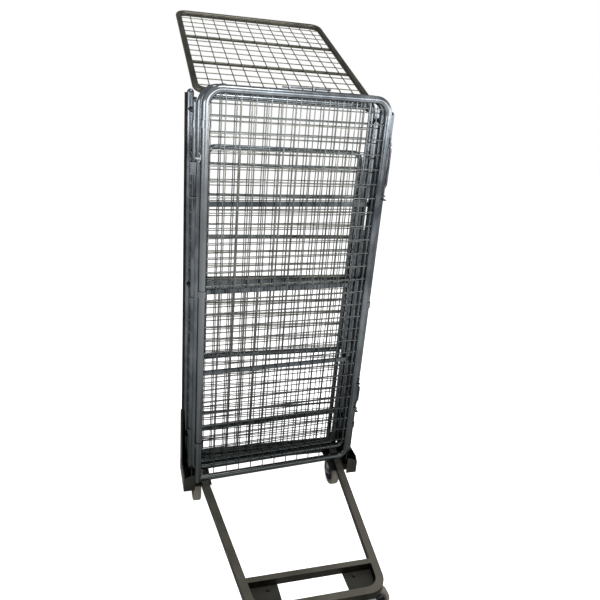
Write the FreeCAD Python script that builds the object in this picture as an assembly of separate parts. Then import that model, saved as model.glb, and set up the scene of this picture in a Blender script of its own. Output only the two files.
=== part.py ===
"""Folding, nesting mesh roll cage: an A-shaped base on four castors, a fixed end frame, two folding
side panels, a gate, a raised deck, a raised shelf and a hinged lid, all in zinc plated steel tube.

Millimetres. +Z is up, the floor is Z = 0, the narrow end of the base points to -Y, and X = 0 is the
middle plane. The origin lies on the floor under the middle of the whole cage's box.
The cage is stored folded: the gate lies on the right side panel, that lies on the left side panel,
and both lie on the raised shelf and deck, in front of the end frame.
"""
import FreeCAD, Part
import math
import os

V = FreeCAD.Vector
X_AXIS, Y_AXIS, Z_AXIS = V(1, 0, 0), V(0, 1, 0), V(0, 0, 1)

# ---- driving dimensions -------------------------------------------------------------------------
# castors and base
WHEEL_D = 125.0            # castor wheel diameter
WHEEL_W = 32.0             # tread width
CASTOR_H = 152.0           # floor to the underside of the corner plates
PLATE_T = 5.0              # corner plates under the base
TOP_PLATE_T = 4.0          # castor top plates
TOP_PLATE_L = 84.0
BOLT_D = 8.0
BOLT_PITCH = 60.0
FORK_T = 3.0               # fork legs
FORK_GAP = 3.0             # wheel side to fork leg
FORK_WIDE = 46.0           # fork leg width at the crown
TRAIL = 40.0               # swivel axis to axle, front castors
AXLE_D = 10.0
RACE_D = 52.0              # swivel race
RACE_H = 12.0
RAIL = 28.0                # base rail, square section
RAIL_WALL = 2.0
FRONT_BAR_Y = -610.5       # centre line of the narrow end bar
BASE_BEND_R = 62.0
RAIL_X_AT_0 = 290.6        # rail centre line at Y = 0, from the middle plane
RAIL_FLARE = 0.1066        # rail centre line moves out this much per millimetre towards the rear
CROSSBAR_Y = -490.0
CROSSBAR_W = 22.0
FRONT_PLATE_IN = 118.0     # inner edge of the front castor plates
FRONT_CASTOR_X = 184.0
FRONT_CASTOR_Y = -549.0
REAR_CASTOR_X = 315.0
REAR_CASTOR_Y = 176.0
# end frame
END_Y = 204.0              # plane of the rear posts and the end mesh
REAR_POST_X = 358.0
REAR_POST_R = 12.0
WING_POST_X = 348.0
WING_POST_Y = 101.0
WING_POST_TOP = 1664.0
END_TUBE_R = 11.0
END_FRAME_HALF = 337.0
END_FRAME_TOP = 1697.0
END_RAIL_R = 7.0
END_LIFT = 31.0            # lowest level wire above the end frame's lower bar
END_RAILS = [683.0, 1183.0]            # heights of the end frame's bars
END_FLATS = [(200.0, 1215.0), (1345.0, 1680.0)]   # flat bars that join it to the rear posts
REAR_POST_TOP = END_FRAME_TOP - 7.0
STRIP_TOP = END_FRAME_TOP - 4.0
STRIP_T = 7.0              # strips outside the rear posts
WING_BAR_R = 9.0
WING_LEVELS = [330.0, 1000.0, 1640.0]
LOOP_LEVELS = [349.0, 919.0, 1549.0]   # hinge loops on the right wing post
LOOP_STEP = 40.0                       # those on the left sit this much higher
LOOP_H = 24.0
LOOP_T = 3.0
SHOE_T = 4.0               # corner shoe sheet
SHOE_FRONT_Y = 52.0
SHOE_BOTTOM = 137.0
SHOE_TOP = 430.0
SHOE_UNDER = 3.0           # clearance under the gate, which swings over it
# folding panels
TUBE_R = 13.0
WALL = 1.5
PANEL_TOP = 1732.0
PANEL_BOTTOM = 213.5
FOLD_YAW = 4.75            # the folded stack leans on its thicker left edge
CORNER_R = 52.0
LOW_CORNER_R = 26.0
GATE_CORNER_R = 40.0       # the gate's lower corner, on its free side
GATE_LIFT = 71.0           # its lowest level wire above its bottom bar
GATE_LEFT = (-328.0, 13.5)         # centre of the gate's left tube, X and Y
GATE_SPAN = 654.0                  # between tube centres
SIDE_SPAN = 662.5
SIDE_RIGHT = (318.5, 97.5)         # centre of the right panel's right tube
SIDE_BOTTOM = 247.0
SIDE_RAILS = [688.0, 1342.0]       # heights of the right panel's flat bars
LEFT_RAILS = [417.0, 1007.0]       # and of the left panel's
LEFT_SPAN = 619.0
LEFT_TUBE = (-332.0, 74.5)         # centre of the left panel's left tube
WIRE_R = 2.0
WIRE_PITCH = 51.5
WIRE_PITCH_Z = 53.0
RAIL_HALF = 9.0            # half height of a panel's flat rails
RAIL_T = 5.0
# deck and shelf, both raised
FLAP_R = 9.0
FLAP_RAIL_R = 4.5
FLAP_CORNER_R = 30.0
FLAP_LOW_R = 14.0
FLAP_LEFT = -302.0         # centre of the left tubes of deck and shelf
DECK_Y = 182.0
DECK_RIGHT = 290.0         # outer face of the deck's right tube
DECK_BOTTOM = 222.0
DECK_TOP = 1026.0
DECK_CHANNEL = 45.0
DECK_RAILS = [426.0]
DECK_FIRST = (59.0, 45.0)  # its first wires from its left tube and its lower edge
SHELF_Y = 158.0
SHELF_RIGHT = 283.0
SHELF_BOTTOM = 695.0
SHELF_TOP = 1531.0
SHELF_RAILS = [1353.0, 1463.0]
SHELF_FIRST = (66.0, 53.0)
PIVOT_R = 5.0
PIVOT_UP = 30.0            # pivot above the lower edge
PIVOT_AHEAD = 2.0          # pivot in front of the tubes, so that a raised flap leans back
# lid
LID_HALF = 343.0
LID_DEPTH = 857.0
LID_TUBE_R = 12.0
LID_CORNER_R = 40.0
LID_TILT = 20.6
LID_AXIS_Y = 235.0
LID_AXIS_Z = 1721.0
LID_DROP = 30.0            # lid plane to hinge axis
LID_START = 20.0           # hinge axis to the near tube, along the lid
LID_WIRES = 12
LID_RAIL_R = 6.0
LID_HINGE_X = 240.0
EYE_R = 9.0
# bolts
BOLT_R = 4.0
RUN = 0.08                 # running clearance on a radius
GAP = 0.3                  # clearance between pieces that only pass each other
KEEP_X = 341.8             # gate bolts, on the right of the gate's free tube
KEEP_Y = 63.0
BOW = (5.7, -2.0)          # how far the bow of a gate bolt stands off, X and Y
UPPER = (1374.0, 1594.0)   # ends of the gate bolts, lifted
LOWER = (459.0, 611.0)
SIDE_BOLT = 1324.0         # lower end of the side bolt at rest
LOCK = (270.0, 440.0)      # ends of the lid bolt, along the left panel
LOCK_R = 3.0
LOCK_UP = 5.5              # lid bolt above the panel's top tube


# ---- shape helpers ------------------------------------------------------------------------------
def box(x0, x1, y0, y1, z0, z1):
    return Part.makeBox(x1 - x0, y1 - y0, z1 - z0, V(x0, y0, z0))


def rod(start, end, r):
    a, b = V(*start), V(*end)
    return Part.makeCylinder(r, (b - a).Length, a, b - a)


def section(at, along, up, half, wall, square):
    """Face of a round or square tube's wall, centred on a point and square to its run."""
    def ring(h):
        if not square:
            return Part.Wire(Part.Circle(at, along, h).toShape())
        side = along.cross(up).normalize()
        corners = [at + side * (h * i) + up * (h * j) for i, j in ((-1, -1), (1, -1), (1, 1), (-1, 1))]
        return Part.makePolygon(corners + corners[:1])
    outer = Part.Face(ring(half))
    return outer.cut(Part.Face(ring(half - wall))) if wall else outer


def bent_tube(points, radii, half, wall, closed=False, square=False):
    """A tube through corner points, as its straight runs and its bends, face to face."""
    pts = [V(*p) for p in points]
    n = len(pts)
    corners = range(n) if closed else range(1, n - 1)
    leave, arrive, pieces = {}, {}, []
    for i in corners:
        a = (pts[i] - pts[i - 1]).normalize()
        b = (pts[(i + 1) % n] - pts[i]).normalize()
        turn = a.getAngle(b)
        back = radii[i] * math.tan(turn / 2)
        arrive[i], leave[i] = pts[i] - a * back, pts[i] + b * back
        axis = a.cross(b).normalize()
        centre = arrive[i] + axis.cross(a) * radii[i]
        face = section(arrive[i], a, axis, half, wall, square)
        pieces.append(face.revolve(centre, axis, math.degrees(turn)))
    for i in range(n if closed else n - 1):
        j = (i + 1) % n
        start, end = leave.get(i, pts[i]), arrive.get(j, pts[j])
        along = (end - start).normalize()
        bend = leave and (pts[1] - pts[0]).cross(pts[2] - pts[1]).normalize()
        up = bend if bend else Z_AXIS
        pieces.append(section(start, along, up, half, wall, square).extrude(end - start))
    return [solid for piece in pieces for solid in piece.Solids]


def pipe(start, end, r, wall=WALL):
    a, b = V(*start), V(*end)
    return section(a, (b - a).normalize(), X_AXIS, r, wall, False).extrude(b - a).Solids[0]


def plate(points, thickness, along):
    """A flat plate from its outline, made thick along a row axis."""
    outline = [V(*p) for p in points]
    return Part.Face(Part.makePolygon(outline + outline[:1])).extrude(along * thickness).Solids[0]


def cope(shape, *cutters):
    """What is left in the middle once the tubes it butts against are cut away."""
    for cutter in cutters:
        shape = shape.cut(cutter)
    return max(shape.Solids, key=lambda s: s.Volume)


def link(p, q, r, x0, x1):
    """A flat link across the X axis: an eye of radius r at each of two (Y, Z) points."""
    (y0, z0), (y1, z1) = p, q
    along = V(0, y1 - y0, z1 - z0)
    web = Part.makeBox(x1 - x0, along.Length, 2 * r, V(0, 0, -r))
    web.rotate(V(0, 0, 0), X_AXIS, math.degrees(math.atan2(z1 - z0, y1 - y0)))
    web.translate(V(x0, y0, z0))
    return web.fuse(rod((x0, y0, z0), (x1, y0, z0), r)).fuse(rod((x0, y1, z1), (x1, y1, z1), r)).removeSplitter()


def post(x, y, r, high=2000.0):
    return rod((x, y, 0), (x, y, high), r)


def mirror_x(shapes):
    return [s.mirror(V(0, 0, 0), X_AXIS) for s in shapes]


def both(shapes):
    return list(shapes) + mirror_x(shapes)


def moved(shapes, angle, x, y, z=0.0):
    """Shapes drawn in a panel's own plane, turned about +Z and carried to their place."""
    out = []
    for s in shapes:
        s = s.copy()
        s.rotate(V(0, 0, 0), Z_AXIS, angle)
        s.translate(V(x, y, z))
        out.append(s)
    return out


def steps(first, last, pitch):
    """Evenly pitched places from the first to the last at most."""
    count = int((last - first) / pitch + 1e-6) + 1
    return [first + pitch * i for i in range(count)]


def trimmed(wires, bends):
    """Wires cut back to the bends of the tube frame that they are welded into."""
    out = []
    for wire in wires:
        for bend in bends:
            if wire.BoundBox.intersect(bend.BoundBox):
                wire = cope(wire, bend)
        out.append(wire)
    return out


nodes = {}

# ---- base ---------------------------------------------------------------------------------------
plate_top = CASTOR_H + PLATE_T
rail_z = plate_top + RAIL / 2
rail_top = plate_top + RAIL
half_rail = RAIL / 2


def rail_x(y):
    return RAIL_X_AT_0 + RAIL_FLARE * y


rear_face = END_Y - half_rail
flare = math.degrees(math.atan(RAIL_FLARE))
ends = [(-rail_x(rear_face + RAIL), rear_face + RAIL, rail_z), (-rail_x(FRONT_BAR_Y), FRONT_BAR_Y, rail_z),
        (rail_x(FRONT_BAR_Y), FRONT_BAR_Y, rail_z), (rail_x(rear_face + RAIL), rear_face + RAIL, rail_z)]
trim = box(-REAR_POST_X, REAR_POST_X, rear_face, rear_face + 3 * RAIL, 0, 2 * rail_top)
nodes["base_loop"] = [s.cut(trim).Solids[0] for s in
                      bent_tube(ends, [0, BASE_BEND_R, BASE_BEND_R, 0], half_rail, RAIL_WALL, square=True)]

rail_shell = bent_tube(ends, [0, BASE_BEND_R, BASE_BEND_R, 0], half_rail, 0, square=True)


def box_tube(x, y0, y1, z0, z1, wall=RAIL_WALL):
    """A rectangular tube along X, from -x to x."""
    bore = box(-x, x, y0 + wall, y1 - wall, z0 + wall, z1 - wall)
    return box(-x, x, y0, y1, z0, z1).cut(bore)


bar = box_tube(REAR_POST_X, CROSSBAR_Y - CROSSBAR_W / 2, CROSSBAR_Y + CROSSBAR_W / 2, plate_top, rail_top)
for shell in rail_shell:
    bar = bar.cut(shell)
nodes["base_crossbar"] = [min(bar.Solids, key=lambda s: abs(s.CenterOfMass.x))]
rear_bar = box_tube(REAR_POST_X, rear_face, rear_face + RAIL, plate_top, rail_top)
rear_post_shells = [post(x, END_Y, REAR_POST_R) for x in (-REAR_POST_X, REAR_POST_X)]
nodes["rear_crossmember"] = [cope(rear_bar, *rear_post_shells)]


def bolt_holes(x, y):
    """Bolt centres of a front castor: the inner pair first."""
    half = BOLT_PITCH / 2
    return [(x + i * half, y + j * half) for i in (-1, 1) for j in (-1, 1)]


def drilled(solid, centres, r):
    for x, y in centres:
        solid = solid.cut(rod((x, y, 0), (x, y, rail_top), r))
    return solid.Solids[0]


front_holes = bolt_holes(FRONT_CASTOR_X, FRONT_CASTOR_Y)
shoe_in = REAR_POST_X + REAR_POST_R + STRIP_T
shoe_out = shoe_in + SHOE_T
shoe_step = PANEL_BOTTOM - SHOE_UNDER
plate_in = REAR_CASTOR_X - TOP_PLATE_L / 2 - 8
nodes["rear_corner_plates"] = both([box(plate_in, shoe_in, SHOE_FRONT_Y + SHOE_T, rear_face + RAIL,
                                        CASTOR_H, plate_top)])
front_edge = FRONT_BAR_Y - half_rail
outer = rail_x(CROSSBAR_Y) + half_rail
front_plate = plate([(FRONT_PLATE_IN, CROSSBAR_Y, CASTOR_H), (outer - 2, CROSSBAR_Y, CASTOR_H),
                     (outer - 12, FRONT_BAR_Y + BASE_BEND_R, CASTOR_H),
                     (outer - 58, front_edge + 4, CASTOR_H), (FRONT_PLATE_IN, front_edge + 4, CASTOR_H)],
                    PLATE_T, Z_AXIS)
nodes["front_castor_plates"] = both([drilled(front_plate, front_holes, BOLT_D / 2 + GAP)])

shoe_back = rear_face + RAIL
shoe_rise = WING_POST_Y + 50
shoe_skirt = plate([(shoe_in, SHOE_FRONT_Y + SHOE_T, SHOE_BOTTOM), (shoe_in, shoe_back, SHOE_BOTTOM),
                    (shoe_in, shoe_back, shoe_step), (shoe_in, SHOE_FRONT_Y + 20, shoe_step),
                    (shoe_in, SHOE_FRONT_Y + SHOE_T, shoe_step - 16)], SHOE_T, X_AXIS)
shoe_gusset = plate([(shoe_in, shoe_rise, shoe_step), (shoe_in, shoe_back, shoe_step), (shoe_in, shoe_back, SHOE_TOP),
                     (shoe_in, shoe_back - 24, SHOE_TOP)], SHOE_T, X_AXIS)
shoe_edge = WING_POST_X - TUBE_R
shoe_front = plate([(shoe_edge, SHOE_FRONT_Y, SHOE_BOTTOM), (shoe_out, SHOE_FRONT_Y, SHOE_BOTTOM),
                    (shoe_out, SHOE_FRONT_Y, shoe_step - 16), (shoe_edge + 14, SHOE_FRONT_Y, shoe_step),
                    (shoe_edge, SHOE_FRONT_Y, shoe_step)], SHOE_T, Y_AXIS)
nodes["corner_shoes"] = both([shoe_skirt, shoe_gusset, shoe_front])

# ---- end frame ----------------------------------------------------------------------------------
nodes["rear_posts"] = both([pipe((REAR_POST_X, END_Y, plate_top), (REAR_POST_X, END_Y, REAR_POST_TOP),
                                 REAR_POST_R)])
nodes["wing_posts"] = both([pipe((WING_POST_X, WING_POST_Y, plate_top),
                                 (WING_POST_X, WING_POST_Y, WING_POST_TOP), TUBE_R)])


def dome(x, y, z, r):
    """Pressed steel cap: a dome over the tube's end, with a spigot inside it."""
    skirt = Part.makeCylinder(r, 4.0, V(x, y, z))
    ball = Part.makeSphere(r, V(x, y, z + 4.0)).common(Part.makeBox(4 * r, 4 * r, 2 * r, V(x - 2 * r, y - 2 * r, z + 4.0)))
    spigot = Part.makeCylinder(r - WALL - 0.1, 14.0, V(x, y, z - 14.0))
    return skirt.fuse(ball).fuse(spigot).removeSplitter().Solids[0]


nodes["post_caps"] = both([dome(REAR_POST_X, END_Y, REAR_POST_TOP, REAR_POST_R),
                           dome(WING_POST_X, WING_POST_Y, WING_POST_TOP, TUBE_R)])
nodes["corner_strips"] = both([box(REAR_POST_X + REAR_POST_R, shoe_in, END_Y, END_Y + 12, plate_top, STRIP_TOP)])

end_c = END_FRAME_HALF - END_TUBE_R
end_low = rail_top + END_TUBE_R
end_high = END_FRAME_TOP - END_TUBE_R
corners = [(-end_c, END_Y, end_low), (end_c, END_Y, end_low), (end_c, END_Y, end_high), (-end_c, END_Y, end_high)]
end_radii = [LOW_CORNER_R, LOW_CORNER_R, CORNER_R, CORNER_R]
nodes["end_mesh_frame"] = bent_tube(corners, end_radii, END_TUBE_R, WALL, closed=True)


def mesh(x0, x1, z0, z1, xs, zs, r=WIRE_R):
    """Welded mesh in the plane Y = 0: upright wires in front, level wires touching them behind."""
    upright = [rod((x, -r, z0), (x, -r, z1), r) for x in xs]
    return upright + [rod((x0, r, z), (x1, r, z), r) for z in zs]


end_inner = end_c - END_TUBE_R
end_xs = steps(-end_inner + 29, end_inner - 23, WIRE_PITCH)
end_zs = [z for z in steps(end_low + END_LIFT, end_high - 40, WIRE_PITCH_Z)
          if all(abs(z - q) > WIRE_R + END_RAIL_R + 1 for q in END_RAILS)]
end_wires = mesh(-end_inner, end_inner, end_low + END_TUBE_R, end_high - END_TUBE_R, end_xs, end_zs)
nodes["end_mesh"] = trimmed(moved(end_wires, 0, 0, END_Y), bent_tube(corners, end_radii, END_TUBE_R, 0, closed=True)[:4])
end_shells = [post(x, END_Y, END_TUBE_R) for x in (-end_c, end_c)]
nodes["end_rails"] = [cope(pipe((-end_c, END_Y + END_RAIL_R, z), (end_c, END_Y + END_RAIL_R, z), END_RAIL_R),
                           *end_shells) for z in END_RAILS]
nodes["end_flats"] = both([cope(box(end_c, REAR_POST_X, END_Y - 3, END_Y + 3, z0, z1),
                                end_shells[1], rear_post_shells[1]) for z0, z1 in END_FLATS])
wing_shells = [post(WING_POST_X, WING_POST_Y, TUBE_R), rear_post_shells[1]]
wing_ends = [(WING_POST_X, WING_POST_Y), (REAR_POST_X, END_Y)]


def wing_bar(z, r, wall=0.0):
    """A bar from a wing post to the rear post behind it."""
    ends = [(x, y, z) for x, y in wing_ends]
    return cope(pipe(*ends, r, wall) if wall else rod(*ends, r), *wing_shells)


nodes["wing_bars"] = both([wing_bar(z, WING_BAR_R, WALL) for z in WING_LEVELS])
loop_spans = [(z + up - 8, z + up + LOOP_H + 8) for z in LOOP_LEVELS for up in (0, LOOP_STEP)]
wing_zs = [z for z in steps(WING_LEVELS[0] + 2 * WIRE_PITCH_Z, WING_LEVELS[2] - WIRE_PITCH_Z, WIRE_PITCH_Z)
           if abs(z - WING_LEVELS[1]) > 2 * WING_BAR_R and not any(a < z < b for a, b in loop_spans)]
nodes["wing_wires"] = both([wing_bar(z, WIRE_R) for z in wing_zs])


# ---- folding panels -----------------------------------------------------------------------------
def panel_path(span, low, open_left):
    """Corner points and bend radii of a panel's tube, in the plane Y = 0, its left tube on X = 0."""
    high = PANEL_TOP - TUBE_R
    loop = [(0, 0, low + TUBE_R), (span, 0, low + TUBE_R), (span, 0, high), (0, 0, high)]
    if not open_left:
        return loop, [LOW_CORNER_R, LOW_CORNER_R, CORNER_R, CORNER_R]
    return [(0, 0, low)] + loop[:0:-1] + loop[:1], [0, CORNER_R, CORNER_R, GATE_CORNER_R, 0]


def panel_frame(span, low, open_left):
    """Tube frame of a panel. The gate's left tube runs down past its bottom bar, which is cut round
    to it; the others are bent at all four corners."""
    pieces = bent_tube(*panel_path(span, low, open_left), TUBE_R, WALL, closed=not open_left)
    if open_left:
        saddle = rod((0, 0, low - 1), (0, 0, low + 4 * TUBE_R), TUBE_R + 0.1)
        pieces.append(cope(pieces.pop(), saddle))
    return pieces


def panel_wires(span, low, first, lift, rails, open_left=False):
    """Mesh between the tubes of a panel, with no level wire where a rail runs."""
    inner0, inner1 = TUBE_R, span - TUBE_R
    z0, z1 = low + 2 * TUBE_R, PANEL_TOP - 2 * TUBE_R
    xs = steps(inner0 + first, inner1 - 12, WIRE_PITCH)
    zs = [z for z in steps(z0 + lift, z1 - 12, WIRE_PITCH_Z)
          if all(abs(z - q) > RAIL_HALF + WIRE_R + 1 for q in rails)]
    solid = bent_tube(*panel_path(span, low, open_left), TUBE_R, 0, closed=not open_left)
    return trimmed(mesh(inner0, inner1, z0, z1, xs, zs), solid[:3 if open_left else 4])


def panel_rails(span, rails):
    """Flat bars between a panel's side tubes, on the back of the upright wires."""
    return [cope(box(0, span, 0, RAIL_T, z - RAIL_HALF, z + RAIL_HALF), post(0, 0, TUBE_R), post(span, 0, TUBE_R))
            for z in rails]


gate_at = (FOLD_YAW, GATE_LEFT[0], GATE_LEFT[1])
yaw = math.radians(FOLD_YAW)
side_left = (SIDE_RIGHT[0] - SIDE_SPAN * math.cos(yaw), SIDE_RIGHT[1] - SIDE_SPAN * math.sin(yaw))
side_at = (FOLD_YAW, side_left[0], side_left[1])
left_at = (FOLD_YAW, LEFT_TUBE[0], LEFT_TUBE[1])

low = PANEL_BOTTOM + 2 * TUBE_R + 0.2
gusset = plate([(TUBE_R + 0.2, -1.5, low), (TUBE_R + 26, -1.5, low), (TUBE_R + 0.2, -1.5, low + 26)], 3.0, Y_AXIS)
nodes["gate_frame"] = moved(panel_frame(GATE_SPAN, PANEL_BOTTOM, True) + [gusset], *gate_at)
nodes["gate_mesh"] = moved(panel_wires(GATE_SPAN, PANEL_BOTTOM, 50.0, GATE_LIFT, [], True), *gate_at)
nodes["right_side_frame"] = moved(panel_frame(SIDE_SPAN, SIDE_BOTTOM, False), *side_at)
nodes["right_side_mesh"] = moved(panel_wires(SIDE_SPAN, SIDE_BOTTOM, 55.0, 22.0, SIDE_RAILS), *side_at)
nodes["right_side_rails"] = moved(panel_rails(SIDE_SPAN, SIDE_RAILS), *side_at)
nodes["left_side_frame"] = moved(panel_frame(LEFT_SPAN, SIDE_BOTTOM, False), *left_at)
nodes["left_side_mesh"] = moved(panel_wires(LEFT_SPAN, SIDE_BOTTOM, 44.0, 36.0, LEFT_RAILS), *left_at)
nodes["left_side_rails"] = moved(panel_rails(LEFT_SPAN, LEFT_RAILS), *left_at)


def hinge_loops(axis, tube, levels):
    """Loops turning on one upright tube, each on a lug welded to another."""
    run = V(tube[0] - axis[0], tube[1] - axis[1], 0)
    out = []
    for z in levels:
        lug = Part.makeBox(run.Length, 2 * LOOP_T, LOOP_H, V(0, -LOOP_T, 0))
        lug.rotate(V(0, 0, 0), Z_AXIS, math.degrees(math.atan2(run.y, run.x)))
        lug.translate(V(axis[0], axis[1], z))
        loop = Part.makeCylinder(TUBE_R + LOOP_T, LOOP_H, V(axis[0], axis[1], z)).fuse(lug)
        out.append(cope(loop, post(*axis, TUBE_R + RUN), post(*tube, TUBE_R)))
    return out


nodes["right_side_loops"] = hinge_loops((WING_POST_X, WING_POST_Y), SIDE_RIGHT, LOOP_LEVELS)
nodes["left_side_loops"] = hinge_loops((-WING_POST_X, WING_POST_Y), LEFT_TUBE, [z + LOOP_STEP for z in LOOP_LEVELS])
wire_low = PANEL_BOTTOM + 2 * TUBE_R + GATE_LIFT
gate_levels = [wire_low + WIRE_PITCH_Z * (i + 0.5) - LOOP_H / 2 for i in (1, 13, 24)]
nodes["gate_loops"] = hinge_loops(GATE_LEFT, side_left, gate_levels)

# ---- gate bolts, side bolt, lid bolt -------------------------------------------------------------
gate_right = (GATE_LEFT[0] + GATE_SPAN * math.cos(yaw), GATE_LEFT[1] + GATE_SPAN * math.sin(yaw))
keep = (KEEP_X, KEEP_Y)


def guide(z, thick, bore, tube=gate_right, at=keep, half=7.0):
    """A level tab from a panel's tube, with the bore a bolt slides in."""
    x0, x1 = sorted((tube[0], at[0] + math.copysign(half, at[0])))
    tab = box(x0, x1, at[1] - half, at[1] + half, z, z + thick)
    return cope(tab, post(*tube, TUBE_R), post(*at, bore))


def keeper(top):
    """An arm from the right panel's tube, round the gate's tube, to a fork that holds a gate bolt."""
    x, y = keep
    z0, z1 = top - 4.0, top
    near = gate_right[1] + TUBE_R + 1.0
    web = x + BOLT_R + 0.7
    arm = cope(box(SIDE_RIGHT[0], web + 5.5, near, near + 5.8, z0, z1), post(*SIDE_RIGHT, TUBE_R),
               post(WING_POST_X, WING_POST_Y, TUBE_R + 1.5))
    return [arm, box(web, web + 5.5, y - 11, near, z0, z1), box(x - 1.8, web, y - 11, y - BOLT_R - 1, z0, z1),
            box(x - 1.8, web, y + BOLT_R + 1.5, near, z0, z1)]


def gate_bolt(low, high):
    """A round bar with a bow in it for the fingers, straight at both ends."""
    x, y = keep
    bow = (x + BOW[0], y + BOW[1])
    return bent_tube([(x, y, low), (x, y, low + 36), (*bow, low + 50), (*bow, high - 44), (x, y, high - 34),
                      (x, y, high)], [0, 8, 8, 8, 8, 0], BOLT_R, 0)


nodes["gate_bolt_guides"] = [guide(z, t, BOLT_R + RUN) for low, high in (UPPER, LOWER)
                             for z, t in ((low + 6, 4), (high - 27.5, 3))]
nodes["gate_keepers"] = keeper(UPPER[0] - 4) + keeper(LOWER[0] - 4)
nodes["gate_bolt_upper"] = gate_bolt(*UPPER)
nodes["gate_bolt_lower"] = gate_bolt(*LOWER)
side_keep = (side_left[0] - TUBE_R - 8.0, side_left[1] + 3.0)
nodes["side_bolt"] = bent_tube([(*side_keep, SIDE_BOLT), (*side_keep, SIDE_BOLT + 172),
                                (side_keep[0] - 18, side_keep[1] - 6, SIDE_BOLT + 172)], [0, 9, 0], BOLT_R - 1, 0)
side_plate = box(side_keep[0] - 10, side_keep[0] + 8, side_keep[1] - 12.5, side_keep[1] - 10,
                 SIDE_BOLT + 118, SIDE_BOLT + 160)
nodes["side_bolt_guides"] = [guide(SIDE_BOLT + up, 4, BOLT_R - 1 + RUN, side_left, side_keep, 10.0)
                             for up in (40, 118, 156)] + [side_plate]

lock_z = PANEL_TOP + LOCK_UP
lock_knob = Part.makeSphere(5.0, V(LOCK[1] + 4.0, 0, lock_z)).cut(box(LOCK[1] - 9, LOCK[1], -9, 9, lock_z - 9, lock_z + 9))
nodes["lid_lock_rod"] = moved([rod((LOCK[0], 0, lock_z), (LOCK[1], 0, lock_z), LOCK_R), lock_knob], *left_at)
top_shell = rod((0, 0, PANEL_TOP - TUBE_R), (LEFT_SPAN, 0, PANEL_TOP - TUBE_R), TUBE_R)
lock_bore = rod((0, 0, lock_z), (LEFT_SPAN, 0, lock_z), LOCK_R + RUN)
nodes["lid_lock_guides"] = moved([cope(box(u, u + 5, -5.2, 5.2, PANEL_TOP - 6, lock_z + 5.2), top_shell, lock_bore)
                                  for u in (LOCK[0] + 22, LOCK[1] - 60)], *left_at)


# ---- deck and shelf -----------------------------------------------------------------------------
def flap(y, right, bottom, top, rails, channel, first):
    """A raised mesh flap: frame, wires, and its pivots and brackets at both ends."""
    r = FLAP_R
    c0, c1 = FLAP_LEFT, right - r
    z0, z1 = bottom + r, top - (channel or r)
    path = [(c0, 0, z1), (c0, 0, z0), (c1, 0, z0), (c1, 0, z1)]
    if channel:
        frame = bent_tube(path, [0, FLAP_LOW_R, FLAP_LOW_R, 0], r, WALL)
        beam = box_tube((c1 - c0) / 2 + r, -r, r, top - channel, top)
        beam.translate(V((c0 + c1) / 2, 0, 0))
        frame.append(beam)
        bends = bent_tube(path, [0, FLAP_LOW_R, FLAP_LOW_R, 0], r, 0)[:2]
        z_in = z1
    else:
        radii = [FLAP_CORNER_R, FLAP_LOW_R, FLAP_LOW_R, FLAP_CORNER_R]
        frame = bent_tube(path, radii, r, WALL, closed=True)
        bends = bent_tube(path, radii, r, 0, closed=True)[:4]
        z_in = z1 - r
    shells = [post(c0, 0, r), post(c1, 0, r)]
    frame += [cope(rod((c0, FLAP_RAIL_R, z), (c1, FLAP_RAIL_R, z), FLAP_RAIL_R), *shells) for z in rails]
    zs = [z for z in steps(z0 + r + first[1], z_in - 16, WIRE_PITCH_Z)
          if all(abs(z - q) > FLAP_RAIL_R + WIRE_R + 1 for q in rails)]
    wires = mesh(c0 + r, c1 - r, z0 + r, z_in, steps(c0 + first[0], c1 - 30, WIRE_PITCH), zs)
    wires = trimmed(wires, bends)
    pin_z, py = bottom + PIVOT_UP, y - PIVOT_AHEAD
    brackets = []
    for side, tube_x, tip, shell in ((-1, c0, PIVOT_LEFT, shells[0]), (1, c1, PIVOT_RIGHT, shells[1])):
        frame.append(cope(rod((tube_x, -PIVOT_AHEAD, pin_z), (tip, -PIVOT_AHEAD, pin_z), PIVOT_R), shell))
        arm_x, foot_x = sorted((tip - side * 12, tip - side * 2)), sorted((tip - side * 2, side * end_c))
        arm = box(*arm_x, py - 9, END_Y - 4, pin_z - 9, pin_z + 9)
        if side * end_c > side * tip + END_TUBE_R:
            arm = arm.fuse(box(*foot_x, END_Y - 18, END_Y - 4, pin_z - 9, pin_z + 9)).removeSplitter()
        bore = rod((tip - side * 20, py, pin_z), (tip + side * 9, py, pin_z), PIVOT_R + RUN)
        brackets.append(cope(arm, bore, post(side * end_c, END_Y, END_TUBE_R)))
    return moved(frame, 0, 0, y), moved(wires, 0, 0, y), brackets


PIVOT_LEFT = FLAP_LEFT - FLAP_R - 13.0    # tips of the pivot pins
PIVOT_RIGHT = 308.0
deck, deck_wires, deck_brackets = flap(DECK_Y, DECK_RIGHT, DECK_BOTTOM, DECK_TOP, DECK_RAILS, DECK_CHANNEL, DECK_FIRST)
shelf, shelf_wires, shelf_brackets = flap(SHELF_Y, SHELF_RIGHT, SHELF_BOTTOM, SHELF_TOP, SHELF_RAILS, 0.0, SHELF_FIRST)
nodes["deck_frame"], nodes["deck_mesh"] = deck, deck_wires
nodes["shelf_frame"], nodes["shelf_mesh"] = shelf, shelf_wires
nodes["flap_brackets"] = deck_brackets + shelf_brackets

# ---- lid ----------------------------------------------------------------------------------------
axis_at = V(0, LID_AXIS_Y, LID_AXIS_Z)


def tilted(shapes):
    """Lid pieces drawn level, with the hinge axis along X through the origin."""
    out = []
    for s in shapes:
        s = s.copy()
        s.rotate(V(0, 0, 0), X_AXIS, LID_TILT)
        s.translate(axis_at)
        out.append(s)
    return out


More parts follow.
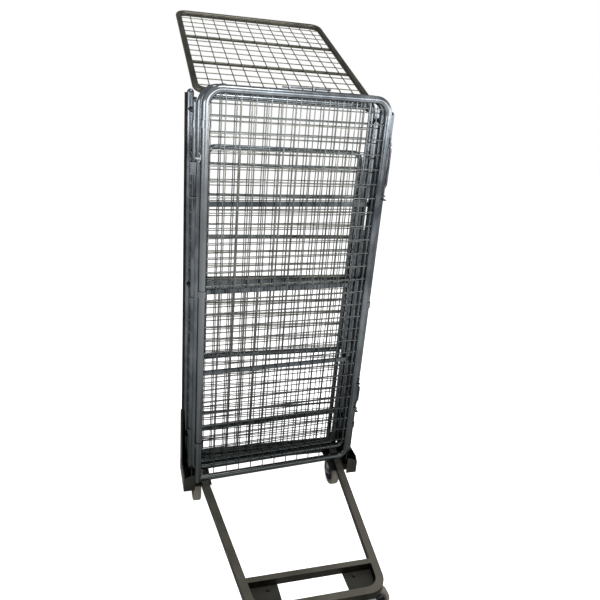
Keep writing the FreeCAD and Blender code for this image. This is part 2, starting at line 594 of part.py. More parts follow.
lid_c, lid_far = LID_HALF - LID_TUBE_R, LID_START + LID_DEPTH - 2 * LID_TUBE_R
lid_corners = [(-lid_c, LID_START, -LID_DROP), (lid_c, LID_START, -LID_DROP),
               (lid_c, lid_far, -LID_DROP), (-lid_c, lid_far, -LID_DROP)]
nodes["lid_frame"] = tilted(bent_tube(lid_corners, [LID_CORNER_R] * 4, LID_TUBE_R, WALL, closed=True))
lid_shells = [rod((x, 0, -LID_DROP), (x, LID_DEPTH, -LID_DROP), LID_TUBE_R) for x in (-lid_c, lid_c)]
lid_run = lid_far - LID_START
lid_rails = [LID_START + lid_run * i / 3 for i in (1, 2)]
rail_level = -LID_DROP - LID_RAIL_R
nodes["lid_rails"] = tilted([cope(rod((-lid_c, u, rail_level), (lid_c, u, rail_level), LID_RAIL_R), *lid_shells)
                             for u in lid_rails])
cell = 2 * lid_c / (LID_WIRES + 1)
lid_xs = [-lid_c + cell * (i + 1) for i in range(LID_WIRES)]
near, far = LID_START + LID_TUBE_R, lid_far - LID_TUBE_R
lid_us = [LID_START + lid_run * i / 15 for i in range(1, 15) if i % 5]
nodes["lid_mesh"] = tilted(
    [rod((x, near, WIRE_R - LID_DROP), (x, far, WIRE_R - LID_DROP), WIRE_R) for x in lid_xs] +
    [rod((LID_TUBE_R - lid_c, u, -WIRE_R - LID_DROP), (lid_c - LID_TUBE_R, u, -WIRE_R - LID_DROP), WIRE_R)
     for u in lid_us])
hx = LID_HINGE_X
near_shell = rod((-LID_HALF, LID_START, -LID_DROP), (LID_HALF, LID_START, -LID_DROP), LID_TUBE_R)
strap = link((0, 0), (LID_START, -LID_DROP), EYE_R, hx + 1, hx + 6)
strap = cope(strap, near_shell, rod((0, 0, 0), (LID_HALF, 0, 0), PIVOT_R + RUN))
nodes["lid_straps"] = tilted(both([strap]))
bar_shell = rod((-LID_HALF, END_Y, end_high), (LID_HALF, END_Y, end_high), END_TUBE_R)
pin_shell = rod((0, LID_AXIS_Y, LID_AXIS_Z), (LID_HALF, LID_AXIS_Y, LID_AXIS_Z), PIVOT_R)
bracket = link((END_Y, end_high), (LID_AXIS_Y, LID_AXIS_Z), EYE_R, hx - 5, hx)
bracket = cope(bracket, bar_shell, pin_shell)
pin = rod((hx - 5, LID_AXIS_Y, LID_AXIS_Z), (hx + 7, LID_AXIS_Y, LID_AXIS_Z), PIVOT_R)
for x in (hx - 9, hx + 7):
    pin = pin.fuse(rod((x, LID_AXIS_Y, LID_AXIS_Z), (x + 4, LID_AXIS_Y, LID_AXIS_Z), PIVOT_R + 3))
nodes["lid_pins"] = both([pin.removeSplitter().Solids[0]])
tilt = math.radians(LID_TILT)
near_at = (LID_AXIS_Y + LID_START * math.cos(tilt) + LID_DROP * math.sin(tilt),
           LID_AXIS_Z + LID_START * math.sin(tilt) - LID_DROP * math.cos(tilt))
stop_at = (near_at[0] - 0.31 * (LID_TUBE_R + 6.15), near_at[1] - 0.951 * (LID_TUBE_R + 6.15))
stop = cope(link((END_Y, end_high), stop_at, 6.0, hx - 40, hx - 34), bar_shell)
nodes["lid_brackets"] = both([bracket, stop])

# ---- castors ------------------------------------------------------------------------------------
wheel_r, wheel_z = WHEEL_D / 2, WHEEL_D / 2
top_under = CASTOR_H - TOP_PLATE_T
crown_top = top_under - RACE_H
half_fork = WHEEL_W / 2 + FORK_GAP + FORK_T


def square_plate(x, y):
    half = TOP_PLATE_L / 2
    return box(x - half, x + half, y - half, y + half, top_under, CASTOR_H)


def fork(x, y, trail):
    """Crown, legs and axle of a castor whose wheel rolls along Y and trails to +Y."""
    legs = []
    for side in (-1, 1):
        x0 = x + side * half_fork
        outline = [(x0, y - FORK_WIDE / 2, crown_top - FORK_T), (x0, y + FORK_WIDE / 2, crown_top - FORK_T),
                   (x0, y + trail + 13, wheel_z), (x0, y + trail + 7, wheel_z - 12),
                   (x0, y + trail - 7, wheel_z - 12), (x0, y + trail - 13, wheel_z)]
        leg = plate(outline, -side * FORK_T, X_AXIS)
        legs.append(leg.cut(rod((x - 99, y + trail, wheel_z), (x + 99, y + trail, wheel_z), AXLE_D / 2)).Solids[0])
    crown = box(x - half_fork, x + half_fork, y - FORK_WIDE / 2, y + FORK_WIDE / 2, crown_top - FORK_T, crown_top)
    axle = rod((x - half_fork - 3, y + trail, wheel_z), (x + half_fork + 3, y + trail, wheel_z), AXLE_D / 2)
    for side in (-1, 1):
        a = x + side * half_fork
        axle = axle.fuse(rod((a, y + trail, wheel_z), (a + side * 6, y + trail, wheel_z), 8.5))
    return legs + [crown, axle.removeSplitter().Solids[0]]


def wheel(x, y):
    """Hub and tyre of a wheel that rolls along Y."""
    w = WHEEL_W / 2
    hub = rod((x - w, y, wheel_z), (x + w, y, wheel_z), 17.0)
    hub = hub.fuse(rod((x - 4, y, wheel_z), (x + 4, y, wheel_z), wheel_r - 18))
    rim = rod((x - w + 2, y, wheel_z), (x + w - 2, y, wheel_z), wheel_r - 14)
    hub = hub.fuse(rim.cut(rod((x - w, y, wheel_z), (x + w, y, wheel_z), wheel_r - 19)))
    hub = hub.cut(rod((x - 99, y, wheel_z), (x + 99, y, wheel_z), AXLE_D / 2 + RUN))
    tyre = rod((x - w, y, wheel_z), (x + w, y, wheel_z), wheel_r)
    tyre = tyre.makeChamfer(3.0, [e for e in tyre.Edges if abs(e.Length - math.pi * WHEEL_D) < 1])
    tyre = tyre.cut(rod((x - w, y, wheel_z), (x + w, y, wheel_z), wheel_r - 14))
    return [hub.removeSplitter().Solids[0]], [tyre.Solids[0]]


def turned(shapes, angle, x, y):
    out = []
    for s in shapes:
        s = s.copy()
        s.rotate(V(x, y, 0), Z_AXIS, angle)
        out.append(s)
    return out


front_top = drilled(square_plate(FRONT_CASTOR_X, FRONT_CASTOR_Y), front_holes, BOLT_D / 2 + GAP)
race = Part.makeCylinder(RACE_D / 2, RACE_H - RUN, V(FRONT_CASTOR_X, FRONT_CASTOR_Y, crown_top + RUN))
rear_spacer = box(REAR_CASTOR_X - half_fork, REAR_CASTOR_X + half_fork, REAR_CASTOR_Y - FORK_WIDE / 2,
                  REAR_CASTOR_Y + FORK_WIDE / 2, crown_top, top_under)
nodes["castor_top_plates"] = both([front_top, race, square_plate(REAR_CASTOR_X, REAR_CASTOR_Y)])
bolts = []
for i, (x, y) in enumerate(front_holes):
    top = plate_top + (8.0 if i < 2 else 0.0)
    head = Part.makeCylinder(6.5, 5.0, V(x, y, top_under - 5.0))
    bolts.append(head.fuse(rod((x, y, top_under), (x, y, top), BOLT_D / 2)).removeSplitter().Solids[0])
    if i < 2:
        hexagon = [V(x + 7.0 * math.cos(a), y + 7.0 * math.sin(a), plate_top) for a in
                   [math.radians(60 * k) for k in range(7)]]
        nut = Part.Face(Part.makePolygon(hexagon)).extrude(V(0, 0, 6.5))
        bolts.append(nut.cut(rod((x, y, plate_top), (x, y, plate_top + 8), BOLT_D / 2)).Solids[0])
nodes["castor_bolts"] = both(bolts)
nodes["rear_forks"] = both(fork(REAR_CASTOR_X, REAR_CASTOR_Y, 0.0) + [rear_spacer])
rear_hub, rear_tyre = wheel(REAR_CASTOR_X, REAR_CASTOR_Y)
right_fork = turned(fork(FRONT_CASTOR_X, FRONT_CASTOR_Y, TRAIL), -90, FRONT_CASTOR_X, FRONT_CASTOR_Y)
front_hub, front_tyre = wheel(FRONT_CASTOR_X, FRONT_CASTOR_Y + TRAIL)
right_hub = turned(front_hub, -90, FRONT_CASTOR_X, FRONT_CASTOR_Y)
right_tyre = turned(front_tyre, -90, FRONT_CASTOR_X, FRONT_CASTOR_Y)
nodes["front_right_fork"], nodes["front_left_fork"] = right_fork, mirror_x(right_fork)
nodes["front_right_hub"], nodes["front_left_hub"] = right_hub, mirror_x(right_hub)
nodes["front_right_tyre"], nodes["front_left_tyre"] = right_tyre, mirror_x(right_tyre)
nodes["rear_right_hub"], nodes["rear_left_hub"] = rear_hub, mirror_x(rear_hub)
nodes["rear_right_tyre"], nodes["rear_left_tyre"] = rear_tyre, mirror_x(rear_tyre)

# ---- write --------------------------------------------------------------------------------------
# the cage runs from its narrow end bar to the far edge of the lid; the origin goes midway
lid_end_y = LID_AXIS_Y + lid_far * math.cos(tilt) + LID_DROP * math.sin(tilt) + LID_TUBE_R
middle_y = (front_edge + lid_end_y) / 2

os.makedirs("parts", exist_ok=True)
for name, solids in nodes.items():
    placed = Part.makeCompound(solids)
    placed.translate(V(0, -middle_y, 0))
    placed.exportStep("parts/" + name + ".step")
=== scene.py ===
"""The looks of a folding, nesting mesh roll cage, stored folded, with its lid raised at the back.

Metres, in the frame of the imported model: +Z up, floor at Z = 0, narrow end of the base towards -Y.
"""
import math

import bmesh
import bpy
from mathutils import Matrix, Vector


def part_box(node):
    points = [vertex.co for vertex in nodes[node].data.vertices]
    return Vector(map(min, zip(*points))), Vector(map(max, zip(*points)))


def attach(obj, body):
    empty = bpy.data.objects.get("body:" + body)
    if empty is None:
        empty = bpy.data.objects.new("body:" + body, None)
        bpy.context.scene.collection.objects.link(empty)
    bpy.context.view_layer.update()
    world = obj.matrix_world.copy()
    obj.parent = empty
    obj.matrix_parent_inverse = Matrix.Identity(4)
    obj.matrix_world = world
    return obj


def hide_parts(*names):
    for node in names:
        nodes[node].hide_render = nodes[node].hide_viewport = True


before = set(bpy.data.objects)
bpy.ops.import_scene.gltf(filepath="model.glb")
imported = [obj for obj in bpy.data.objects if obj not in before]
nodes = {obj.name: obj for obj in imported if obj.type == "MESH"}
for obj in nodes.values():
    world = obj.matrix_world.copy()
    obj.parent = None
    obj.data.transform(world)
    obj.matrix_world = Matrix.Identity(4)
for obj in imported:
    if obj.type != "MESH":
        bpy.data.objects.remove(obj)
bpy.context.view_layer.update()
scene = bpy.context.scene
scene.view_settings.view_transform = "Standard"

# ---- Camera -------------------------------------------------------------------------------------
# Eye height of a person standing a little left of the cage, looking down at it, with the camera
# held slightly askew. The lens is a moderate wide angle.
STAND_LEFT, STAND_BACK, EYE_HEIGHT = 0.5858, 1.3366, 1.7917
eye = Vector((-STAND_LEFT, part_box("base_loop")[0][1] - STAND_BACK, EYE_HEIGHT))
look_right, look_down, askew = (math.radians(angle) for angle in (17.52, 21.10, 4.93))
camera_data = bpy.data.cameras.new("camera")
camera_data.lens = 35.5
camera_data.sensor_width = 36.0
camera = bpy.data.objects.new("camera", camera_data)
scene.collection.objects.link(camera)
camera.matrix_world = (Matrix.Translation(eye) @ Matrix.Rotation(-look_right, 4, "Z")
                       @ Matrix.Rotation(math.radians(90) - look_down, 4, "X")
                       @ Matrix.Rotation(askew, 4, "Z"))
scene.camera = camera

# ---- Base frame and crossbars -------------------------------------------------------------------
# One loop of 28 mm square tube, bent round the narrow end, with a flat crossbar and a rear member
# welded in. Zinc plated mild steel, its near-black brown-grey painted shade for the dark floor that
# its sides reflect, and paler on the faces that look up in painted light from above.


# heights, in metres, between which a finish darkens towards the floor in painted shade, and places
# to the left of the middle between which it brightens in painted light
SHADE_FROM, SHADE_TO = 1.50, 0.30
LIT_LEFT_FROM, LIT_LEFT_TO = -0.15, -0.31
GRAIN = 0.0002


def finish(name, light, dark, rough, metal, shade_low=None, lit_top=None, left=None):
    """Cloudy colour with faint drawing lines and scuffs, as on plated steel. It can be darker towards
    the floor in painted shade, paler on the faces that look up in painted light, and more even and
    brighter on the left in painted light."""
    material = bpy.data.materials.new(name)
    material.use_nodes = True
    tree = material.node_tree
    link = tree.links.new
    shader = tree.nodes["Principled BSDF"]
    place = tree.nodes.new("ShaderNodeTexCoord")

    def noise(scale, stretch=(1.0, 1.0, 1.0), detail=3.0):
        mapping = tree.nodes.new("ShaderNodeMapping")
        mapping.inputs["Scale"].default_value = stretch
        link(place.outputs["Object"], mapping.inputs["Vector"])
        pattern = tree.nodes.new("ShaderNodeTexNoise")
        pattern.inputs["Scale"].default_value = scale
        pattern.inputs["Detail"].default_value = detail
        link(mapping.outputs["Vector"], pattern.inputs["Vector"])
        return pattern.outputs["Fac"]

    def spread(value, a, b, c, d):
        remap = tree.nodes.new("ShaderNodeMapRange")
        for socket, number in zip(("From Min", "From Max", "To Min", "To Max"), (a, b, c, d)):
            remap.inputs[socket].default_value = number
        link(value, remap.inputs["Value"])
        return remap.outputs["Result"]

    def mixed(factor, one, two):
        mix = tree.nodes.new("ShaderNodeMix")
        mix.data_type = "RGBA"
        link(factor, mix.inputs[0])
        for socket, value in ((mix.inputs[6], one), (mix.inputs[7], two)):
            if isinstance(value, tuple):
                socket.default_value = (*value, 1.0)
            else:
                link(value, socket)
        return mix.outputs[2]

    def one_of(output, axis):
        part = tree.nodes.new("ShaderNodeSeparateXYZ")
        link(output, part.inputs["Vector"])
        return part.outputs[axis]

    clouds = noise(11.0)
    lines = noise(90.0, stretch=(1.0, 1.0, 0.06))
    specks = noise(420.0, detail=2.0)
    colour = mixed(spread(clouds, 0.35, 0.65, 0.0, 1.0), dark, light)
    colour = mixed(spread(lines, 0.45, 0.75, 0.0, 0.45), colour, dark)
    # painted light: towards the left the colour turns brighter and more even
    if left:
        share = spread(one_of(place.outputs["Object"], "X"), LIT_LEFT_FROM, LIT_LEFT_TO, 0.0, 0.8)
        colour = mixed(share, colour, left)
    # painted shade: darker towards the floor
    if shade_low:
        share = spread(one_of(place.outputs["Object"], "Z"), SHADE_FROM, SHADE_TO, 0.0, 1.0)
        colour = mixed(share, colour, shade_low)
    # painted light: paler on the faces that look up
    if lit_top:
        share = spread(one_of(place.outputs["Normal"], "Z"), 0.35, 0.8, 0.0, 1.0)
        colour = mixed(share, colour, lit_top)
    colour = mixed(spread(specks, 0.66, 0.78, 0.0, 0.35), colour, tuple(c * 0.4 for c in dark))
    link(colour, shader.inputs["Base Color"])
    link(spread(clouds, 0.3, 0.7, rough * 0.8, rough * 1.25), shader.inputs["Roughness"])
    shader.inputs["Metallic"].default_value = metal
    shader.inputs["Specular Tint"].default_value = (0.35, 0.35, 0.35, 1.0)
    shader.inputs["Specular IOR Level"].default_value = 0.3
    bump = tree.nodes.new("ShaderNodeBump")
    bump.inputs["Strength"].default_value = 0.25
    bump.inputs["Distance"].default_value = GRAIN
    link(specks, bump.inputs["Height"])
    link(bump.outputs["Normal"], shader.inputs["Normal"])
    return material


def dress(material, *names):
    """Give a finish to pieces whose shape is already right."""
    for name in names:
        nodes[name].data.materials.clear()
        nodes[name].data.materials.append(material)


def ease_edges(width, *names):
    """The small radius that rolling leaves on a section's edges."""
    for name in names:
        ease = nodes[name].modifiers.new("eased", "BEVEL")
        ease.width = width
        ease.segments = 2
        ease.limit_method = "ANGLE"
        ease.angle_limit = math.radians(60)


# painted shade: near-black sides; painted light: paler faces that look up
base_zinc_shaded_lit_top = finish("base_zinc_shaded_lit_top", (0.016, 0.015, 0.012), (0.007, 0.0065, 0.005), 0.42, 0.85,
                     lit_top=(0.092, 0.087, 0.072))
dress(base_zinc_shaded_lit_top, "base_loop", "base_crossbar", "rear_crossmember")
ease_edges(0.0018, "base_loop", "base_crossbar", "rear_crossmember")

# ---- Corner plates, castor plates and shoes -----------------------------------------------------
# 5 mm plates welded under the base for the castors, and shoes of 4 mm plate at the rear corners that
# guide the next cage's base in. They are nearly black in painted shade, and paler where they face up
# in painted light.
plate_zinc_shaded_lit_top = finish("plate_zinc_shaded_lit_top", (0.022, 0.022, 0.019), (0.009, 0.009, 0.007), 0.45, 0.8,
                      lit_top=(0.036, 0.035, 0.030))
dress(plate_zinc_shaded_lit_top, "front_castor_plates", "rear_corner_plates", "corner_shoes", "corner_strips")

# ---- Castors ------------------------------------------------------------------------------------
# Pressed forks and top plates, zinc plated, and bolts as dull as the plates they hold. The front
# pair swivel on a ball race and are bolted on; the rear pair are welded on.
castor_zinc = finish("castor_zinc", (0.22, 0.225, 0.23), (0.10, 0.105, 0.11), 0.34, 0.9)
dress(castor_zinc, "castor_top_plates", "rear_forks", "front_left_fork", "front_right_fork")
# the bolts share the plates' near-black painted shade and paler painted light on top
dress(plate_zinc_shaded_lit_top, "castor_bolts")

# ---- Wheels -------------------------------------------------------------------------------------
# A solid grey-brown rubber tread with rounded shoulders, moulded on a black nylon centre that has
# eight ribs a side between its rim and its hub. The treads are dusty with use.
tread_rubber = finish("tread_rubber", (0.125, 0.115, 0.098), (0.07, 0.063, 0.052), 0.7, 0.0)
centre_nylon = finish("centre_nylon", (0.022, 0.022, 0.022), (0.011, 0.011, 0.011), 0.45, 0.0)
TREAD_PROFILE = [
    (-0.0125, 0.0490), (-0.0150, 0.0505), (-0.0160, 0.0530), (-0.0160, 0.0575), (-0.0150, 0.0605),
    (-0.0125, 0.0622), (-0.0060, 0.0625), (0.0060, 0.0625), (0.0125, 0.0622), (0.0150, 0.0605),
    (0.0160, 0.0575), (0.0160, 0.0530), (0.0150, 0.0505), (0.0125, 0.0490)]
CENTRE_PROFILE = [
    (-0.0135, 0.0488), (-0.0142, 0.0480), (-0.0142, 0.0440), (-0.0040, 0.0425), (-0.0035, 0.0200),
    (-0.0150, 0.0170), (-0.0160, 0.0160), (-0.0160, 0.0056), (0.0160, 0.0056), (0.0160, 0.0160),
    (0.0150, 0.0170), (0.0035, 0.0200), (0.0040, 0.0425), (0.0142, 0.0440), (0.0142, 0.0480),
    (0.0135, 0.0488)]
RIBS = 8
RIB_FROM, RIB_TO, RIB_THICK, RIB_DEEP = 0.0165, 0.0445, 0.0026, 0.0110


def spun(mesh, profile, turns=64):
    """A closed profile of (along the axle, radius) turned right round the X axis."""
    ring = [mesh.verts.new((along, 0.0, radius)) for along, radius in profile]
    edges = [mesh.edges.new((ring[i - 1], ring[i])) for i in range(len(ring))]
    bmesh.ops.spin(mesh, geom=ring + edges, cent=(0, 0, 0), axis=(1, 0, 0), angle=math.tau,
                   steps=turns, use_merge=True)


def keep_piece(mesh, name, material, body, *stands_for, smooth=True):
    """Turn a finished shape into a piece that rides on its body."""
    bmesh.ops.recalc_face_normals(mesh, faces=mesh.faces[:])
    for face in mesh.faces:
        face.smooth = smooth
    data = bpy.data.meshes.new(name)
    mesh.to_mesh(data)
    mesh.free()
    if smooth:
        data.set_sharp_from_angle(angle=math.radians(38))
    piece = bpy.data.objects.new(name, data)
    scene.collection.objects.link(piece)
    data.materials.append(material)
    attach(piece, body)
    if stands_for:
        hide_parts(*stands_for)
    return piece


RIB_EASE = 0.0006
for corner in ("front_left", "front_right", "rear_left", "rear_right"):
    lowest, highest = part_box(corner + "_tyre")
    centre = (Vector(lowest) + Vector(highest)) / 2
    to_axle = Matrix.Translation(centre)
    if corner.startswith("front"):
        to_axle = to_axle @ Matrix.Rotation(math.radians(90), 4, "Z")   # the front pair stand swivelled
    tread = bmesh.new()
    spun(tread, TREAD_PROFILE)
    tread.transform(to_axle)
    keep_piece(tread, corner + "_tread", tread_rubber, corner + "_wheel", corner + "_tyre")
    middle = bmesh.new()
    spun(middle, CENTRE_PROFILE)
    for rib in range(RIBS):
        at = Matrix.Rotation(math.tau * rib / RIBS, 4, "X")
        size = Matrix.Diagonal((2 * RIB_DEEP, RIB_THICK, RIB_TO - RIB_FROM, 1.0))
        lift = Matrix.Translation((0, 0, (RIB_FROM + RIB_TO) / 2))
        made = bmesh.ops.create_cube(middle, size=1.0, matrix=at @ lift @ size)
        edges = list({edge for vert in made["verts"] for edge in vert.link_edges})
        bmesh.ops.bevel(middle, geom=edges, offset=RIB_EASE, segments=1, profile=0.5, affect="EDGES",
                        material=-1)
    middle.transform(to_axle)
    keep_piece(middle, corner + "_centre", centre_nylon, corner + "_wheel", corner + "_hub")

# ---- End frame ----------------------------------------------------------------------------------
# Round posts with pressed caps and a mesh panel in a bent tube frame, welded to the base and to the
# wing posts. Bright zinc with a blue passivation, darker towards the floor in painted shade.
tube_zinc = finish("tube_zinc", (0.150, 0.165, 0.178), (0.055, 0.063, 0.072), 0.2, 0.94,
                   shade_low=(0.020, 0.023, 0.023))
# the wires further back are paler and warmer than the near wires in painted light, and darken towards
# the floor in painted shade
lit_far_wire = finish("lit_far_wire", (0.40, 0.39, 0.33), (0.23, 0.225, 0.19), 0.34, 0.7,
                  shade_low=(0.036, 0.036, 0.032))
dress(tube_zinc, "rear_posts", "wing_posts", "post_caps", "end_mesh_frame", "end_rails", "end_flats",
      "wing_bars", "flap_brackets", "lid_brackets", "lid_pins")
dress(lit_far_wire, "end_mesh", "wing_wires")

# ---- Deck and shelf -----------------------------------------------------------------------------
# Mesh welded into lighter tube, each turning on a pin at either side near its lower edge. The deck
# has a deep box section along its free edge. Both stand raised against the end frame.
# the deck and shelf carry the same painted shade towards the floor, and their wires the same painted
# light
dress(tube_zinc, "deck_frame", "shelf_frame")
dress(lit_far_wire, "deck_mesh", "shelf_mesh")

# ---- Side panels --------------------------------------------------------------------------------
# Closed frames of 26 mm tube with 4 mm wire mesh and flat bars across. Each hangs by three loops
# that turn on a wing post, and the right one carries the gate's loops and the bolt keepers.
# the side panels' tubes and meshes darken towards the floor in painted shade
near_wire = finish("near_wire", (0.175, 0.186, 0.180), (0.085, 0.091, 0.088), 0.26, 0.88,
                   shade_low=(0.016, 0.018, 0.017))
dress(tube_zinc, "left_side_frame", "left_side_rails", "left_side_loops", "lid_lock_guides",
      "lid_lock_rod", "right_side_frame", "right_side_rails", "right_side_loops", "gate_keepers",
      "side_bolt_guides", "side_bolt")
dress(near_wire, "left_side_mesh", "right_side_mesh")

# ---- Wire tag on the right side panel -----------------------------------------------------------
# A length of white plastic coated wire wound round the tube above the bolt plate, with its two
# ends twisted together. It holds a tally when the cage is in use.
tag_plastic = finish("tag_plastic", (0.80, 0.82, 0.80), (0.62, 0.64, 0.62), 0.45, 0.0)
TUBE_AT = Vector((-0.3417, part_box("right_side_frame")[0][1] + 0.0131, 1.494))
TAG_AT = TUBE_AT + Vector((0.0010, -0.0165, 0.0020))
TAG_WIRE = 0.0011
WIRE_SIDES = 8
STEPS_PER_TURN = 24
TWIST_HEIGHT = 0.012
TAIL = 0.012


def coil(mesh, radius, rise, turns, at, phase=0.0):
    """Wire wound round an upright axis, climbing evenly."""
    wound = bmesh.new()
    section = bmesh.ops.create_circle(wound, segments=WIRE_SIDES, radius=TAG_WIRE,
                                      matrix=Matrix.Rotation(math.radians(90), 4, "X"))["verts"]
    section += list({edge for vert in section for edge in vert.link_edges})
    bmesh.ops.translate(wound, vec=(radius, 0, 0), verts=wound.verts[:])
    steps = STEPS_PER_TURN * turns
    bmesh.ops.spin(wound, geom=section, cent=(0, 0, 0), axis=(0, 0, 1), dvec=(0, 0, rise / steps),
                   angle=math.tau * turns, steps=steps)
    wound.transform(Matrix.Translation(at) @ Matrix.Rotation(phase, 4, "Z"))
    bmesh.ops.holes_fill(wound, edges=wound.edges[:], sides=WIRE_SIDES)
    part = bpy.data.meshes.new("wound")
    wound.to_mesh(part)
    wound.free()
    mesh.from_mesh(part)
    bpy.data.meshes.remove(part)


tag = bmesh.new()
coil(tag, 0.0143, 0.0052, 2, TUBE_AT)
for strand in (0.0, math.pi):
    coil(tag, 0.0013, TWIST_HEIGHT, 3, TAG_AT, phase=strand)
# four cut ends stand off the twist: two at its top and two at its foot, with a negative lean
for lean, side in ((38, -1), (52, 1), (-30, -1), (-46, 1)):
    root = TAG_AT + Vector((0, 0, TWIST_HEIGHT if lean > 0 else 0.0))
    tail = (Matrix.Translation(root) @ Matrix.Rotation(math.radians(side * lean), 4, "Y")
            @ Matrix.Translation((0, 0, math.copysign(TAIL / 2, lean))))
    bmesh.ops.create_cone(tag, cap_ends=True, segments=WIRE_SIDES, radius1=TAG_WIRE,
                          radius2=TAG_WIRE * 0.8, depth=TAIL, matrix=tail)
keep_piece(tag, "wire_tag", tag_plastic, "right_side")

# ---- Gate ---------------------------------------------------------------------------------------
# The mesh gate in its own bent tube frame, open at the lower left where the long hinge tube runs on
# down. Two bowed round bolts slide in tabs on its free tube and drop behind the keepers.
# painted shade darkens the gate's tubes, bolts and mesh towards the floor, and painted light makes the
# left of its tubes brighter and more even
gate_zinc = finish("gate_zinc", (0.165, 0.180, 0.192), (0.065, 0.073, 0.082), 0.22, 0.94,
                   shade_low=(0.026, 0.029, 0.029), left=(0.155, 0.166, 0.174))
bolt_zinc = finish("bolt_zinc", (0.20, 0.20, 0.215), (0.045, 0.045, 0.055), 0.2, 0.94,
                   shade_low=(0.03, 0.032, 0.034))
dress(gate_zinc, "gate_frame", "gate_loops")
dress(bolt_zinc, "gate_bolt_guides", "gate_bolt_upper", "gate_bolt_lower")
dress(near_wire, "gate_mesh")

# ---- Lid ----------------------------------------------------------------------------------------
# A light mesh panel in 24 mm tube with two cross bars, hung from pins behind the end frame and
# resting open on two stops. Its plating has a dull olive passivation, paler on the wires.
lid_zinc = finish("lid_zinc", (0.064, 0.062, 0.050), (0.032, 0.031, 0.025), 0.34, 0.8)
lid_wire = finish("lid_wire", (0.150, 0.146, 0.122), (0.085, 0.082, 0.068), 0.34, 0.8)
dress(lid_zinc, "lid_frame", "lid_rails", "lid_straps")
dress(lid_wire, "lid_mesh")

# ---- Weld beads ---------------------------------------------------------------------------------
# Small round beads where the gate's wires and its lower left corner are welded, bright where the
# plating is thin, and a row of drops over the crossbar near each end, as dull as the base.
# the beads darken towards the floor in painted shade
weld_zinc = finish("weld_zinc", (0.30, 0.32, 0.33), (0.15, 0.16, 0.17), 0.3, 0.9,
                   shade_low=(0.09, 0.095, 0.095))
GATE_YAW = math.radians(4.75)
ALONG = Vector((math.cos(GATE_YAW), math.sin(GATE_YAW), 0.0))
AHEAD = Vector((math.sin(GATE_YAW), -math.cos(GATE_YAW), 0.0))
UP = Vector((0, 0, 1))
GATE_SPAN, TUBE_R = 0.654, 0.013
HINGE_TUBE = Vector((-0.328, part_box("gate_frame")[0][1] + TUBE_R, 0.0))
LEVEL_FROM, LEVEL_STEP, LEVELS = 0.3105, 0.053, 26
UPRIGHT_FROM, UPRIGHT_STEP, UPRIGHTS = 0.063, 0.0515, 11
GATE_UNDER, GATE_OVER = 0.2395, 1.706
PROUD = 0.0006                 # a bead's middle stands this far off the tube
WIRE_SET = 0.002               # level wires lie behind the tubes' middle plane, upright ones ahead
CORNER_DROPS, DROP_STEP = 7, 0.0042
FILLET_DROPS = 9
FILLET_INSET = 0.012           # from the ends of the crossbar's box to its drops
RAIL_FLARE = 0.1066            # the base's rails spread towards the rear


def bead(mesh, at, along, length, wide):
    """One drop of weld, longer than it is wide."""
    turn = UP.rotation_difference(along).to_matrix().to_4x4()
    size = Matrix.Diagonal((wide, wide, length, 1.0))
    bmesh.ops.create_uvsphere(mesh, u_segments=8, v_segments=5, radius=1.0,
                              matrix=Matrix.Translation(at) @ turn @ size)


beads = bmesh.new()
for level in range(LEVELS):
    height = UP * (LEVEL_FROM + LEVEL_STEP * level)
    for end in (TUBE_R + PROUD, GATE_SPAN - TUBE_R - PROUD):
        bead(beads, HINGE_TUBE + ALONG * end - AHEAD * WIRE_SET + height, ALONG, 0.0034, 0.0030)
for upright in range(UPRIGHTS):
    across = ALONG * (UPRIGHT_FROM + UPRIGHT_STEP * upright) + AHEAD * WIRE_SET
    for height in (GATE_UNDER + PROUD, GATE_OVER - PROUD):
        bead(beads, HINGE_TUBE + across + UP * height, UP, 0.0032, 0.0029)
low_corner = HINGE_TUBE + ALONG * TUBE_R + AHEAD * WIRE_SET + UP * GATE_UNDER
for drop in range(CORNER_DROPS):
    run = 0.001 + DROP_STEP * drop
    bead(beads, low_corner + ALONG * 2 * PROUD + UP * run, UP, 0.0030, 0.0026)
    bead(beads, low_corner + ALONG * run + UP * PROUD, ALONG, 0.0030, 0.0026)
keep_piece(beads, "gate_weld_beads", weld_zinc, "gate")

fillets = bmesh.new()
low_bar, high_bar = (Vector(corner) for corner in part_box("base_crossbar"))
for side in (low_bar.x + FILLET_INSET, high_bar.x - FILLET_INSET):
    for drop in range(FILLET_DROPS):
        y = low_bar.y + (high_bar.y - low_bar.y) * (drop + 0.5) / FILLET_DROPS
        lean = math.copysign((y - low_bar.y) * RAIL_FLARE - 0.0012, side)
        bead(fillets, Vector((side + lean, y, high_bar.z + 0.0002)), Vector((0, 1, 0)), 0.0019, 0.0011)
# the drops share the base's near-black painted shade and paler painted light on top
keep_piece(fillets, "base_weld_fillets", base_zinc_shaded_lit_top, "cage")

# ---- Floor, room and light ----------------------------------------------------------------------
# A pale studio floor that fades into a white room, under a square soft box overhead, with a wide
# one ahead of the cage and one each side, level with its top.
FLOOR_RADIUS = 14.0
FLOOR_GLOW = 0.76
ROOM_LIGHT = 0.35
floor_mesh = bmesh.new()
bmesh.ops.create_circle(floor_mesh, cap_ends=True, radius=FLOOR_RADIUS, segments=64)
floor_data = bpy.data.meshes.new("floor")
floor_mesh.to_mesh(floor_data)
floor_mesh.free()
floor = bpy.data.objects.new("floor", floor_data)
scene.collection.objects.link(floor)
floor_paint = bpy.data.materials.new("floor_paint")
floor_paint.use_nodes = True
paint = floor_paint.node_tree
floor_shader = paint.nodes["Principled BSDF"]
floor_shader.inputs["Base Color"].default_value = (0.80, 0.80, 0.80, 1.0)
floor_shader.inputs["Roughness"].default_value = 0.9
floor_shader.inputs["Specular IOR Level"].default_value = 0.1


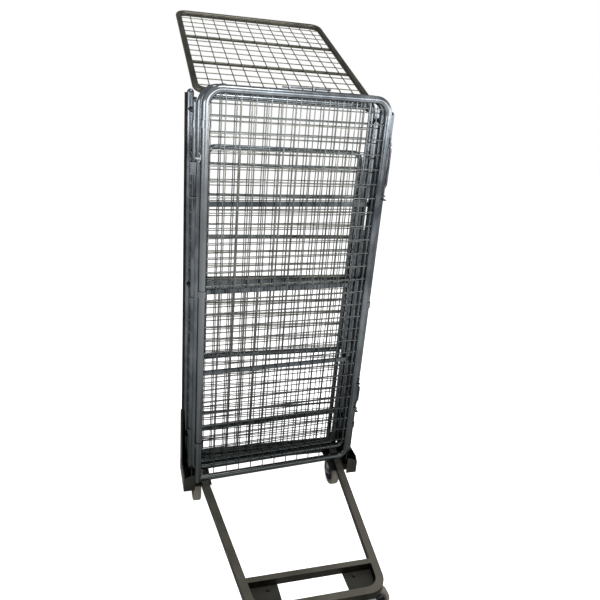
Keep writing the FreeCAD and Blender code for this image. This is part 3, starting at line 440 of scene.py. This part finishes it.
def shown(tree):
    """One where the camera, metal or glass looks, and nought for all other light."""
    link = tree.links.new
    path = tree.nodes.new("ShaderNodeLightPath")
    total = path.outputs["Is Camera Ray"]
    for ray in ("Is Glossy Ray", "Is Transmission Ray"):
        add = tree.nodes.new("ShaderNodeMath")
        add.operation = "MAXIMUM"
        link(total, add.inputs[0])
        link(path.outputs[ray], add.inputs[1])
        total = add.outputs["Value"]
    return total


# the floor keeps a share of its own shading where it is seen, so that the shadow stays
glow = paint.nodes.new("ShaderNodeEmission")
add = paint.nodes.new("ShaderNodeAddShader")
strength = paint.nodes.new("ShaderNodeMath")
strength.operation = "MULTIPLY"
strength.inputs[1].default_value = FLOOR_GLOW
paint.links.new(shown(paint), strength.inputs[0])
paint.links.new(strength.outputs["Value"], glow.inputs["Strength"])
paint.links.new(floor_shader.outputs["BSDF"], add.inputs[0])
paint.links.new(glow.outputs["Emission"], add.inputs[1])
paint.links.new(add.outputs["Shader"], paint.nodes["Material Output"].inputs["Surface"])
floor_data.materials.append(floor_paint)

world = bpy.data.worlds.new("room")
scene.world = world
world.use_nodes = True
room = world.node_tree
room_light = room.nodes["Background"]
room_light.inputs["Color"].default_value = (1.0, 1.0, 1.0, 1.0)
room_light.inputs["Strength"].default_value = ROOM_LIGHT
seen = room.nodes.new("ShaderNodeBackground")
seen.inputs["Color"].default_value = (1.0, 1.0, 1.0, 1.0)
seen.inputs["Strength"].default_value = 1.0
choose = room.nodes.new("ShaderNodeMixShader")
room.links.new(shown(room), choose.inputs["Fac"])
room.links.new(room_light.outputs["Background"], choose.inputs[1])
room.links.new(seen.outputs["Background"], choose.inputs[2])
room.links.new(choose.outputs["Shader"], room.nodes["World Output"].inputs["Surface"])


def soft_box(name, at, aim, width, height, watts):
    """A rectangular lamp that looks at a point."""
    lamp = bpy.data.lights.new(name, "AREA")
    lamp.shape = "RECTANGLE"
    lamp.size = width
    lamp.size_y = height
    lamp.energy = watts
    holder = bpy.data.objects.new(name, lamp)
    holder.location = at
    holder.rotation_euler = (Vector(aim) - Vector(at)).to_track_quat("-Z", "Y").to_euler()
    scene.collection.objects.link(holder)


soft_box("overhead", (0.3, -0.9, 4.4), (0, 0.1, 0.9), 1.2, 1.2, 90)
soft_box("front", (1.0, -3.5, 1.75), (0.2, 0, 1.5), 4.0, 1.1, 110)
soft_box("left", (-3.1, -1.4, 1.75), (0, -0.1, 1.5), 2.4, 1.1, 60)
soft_box("right", (3.1, -0.6, 1.75), (0, -0.2, 1.5), 2.4, 1.1, 60)
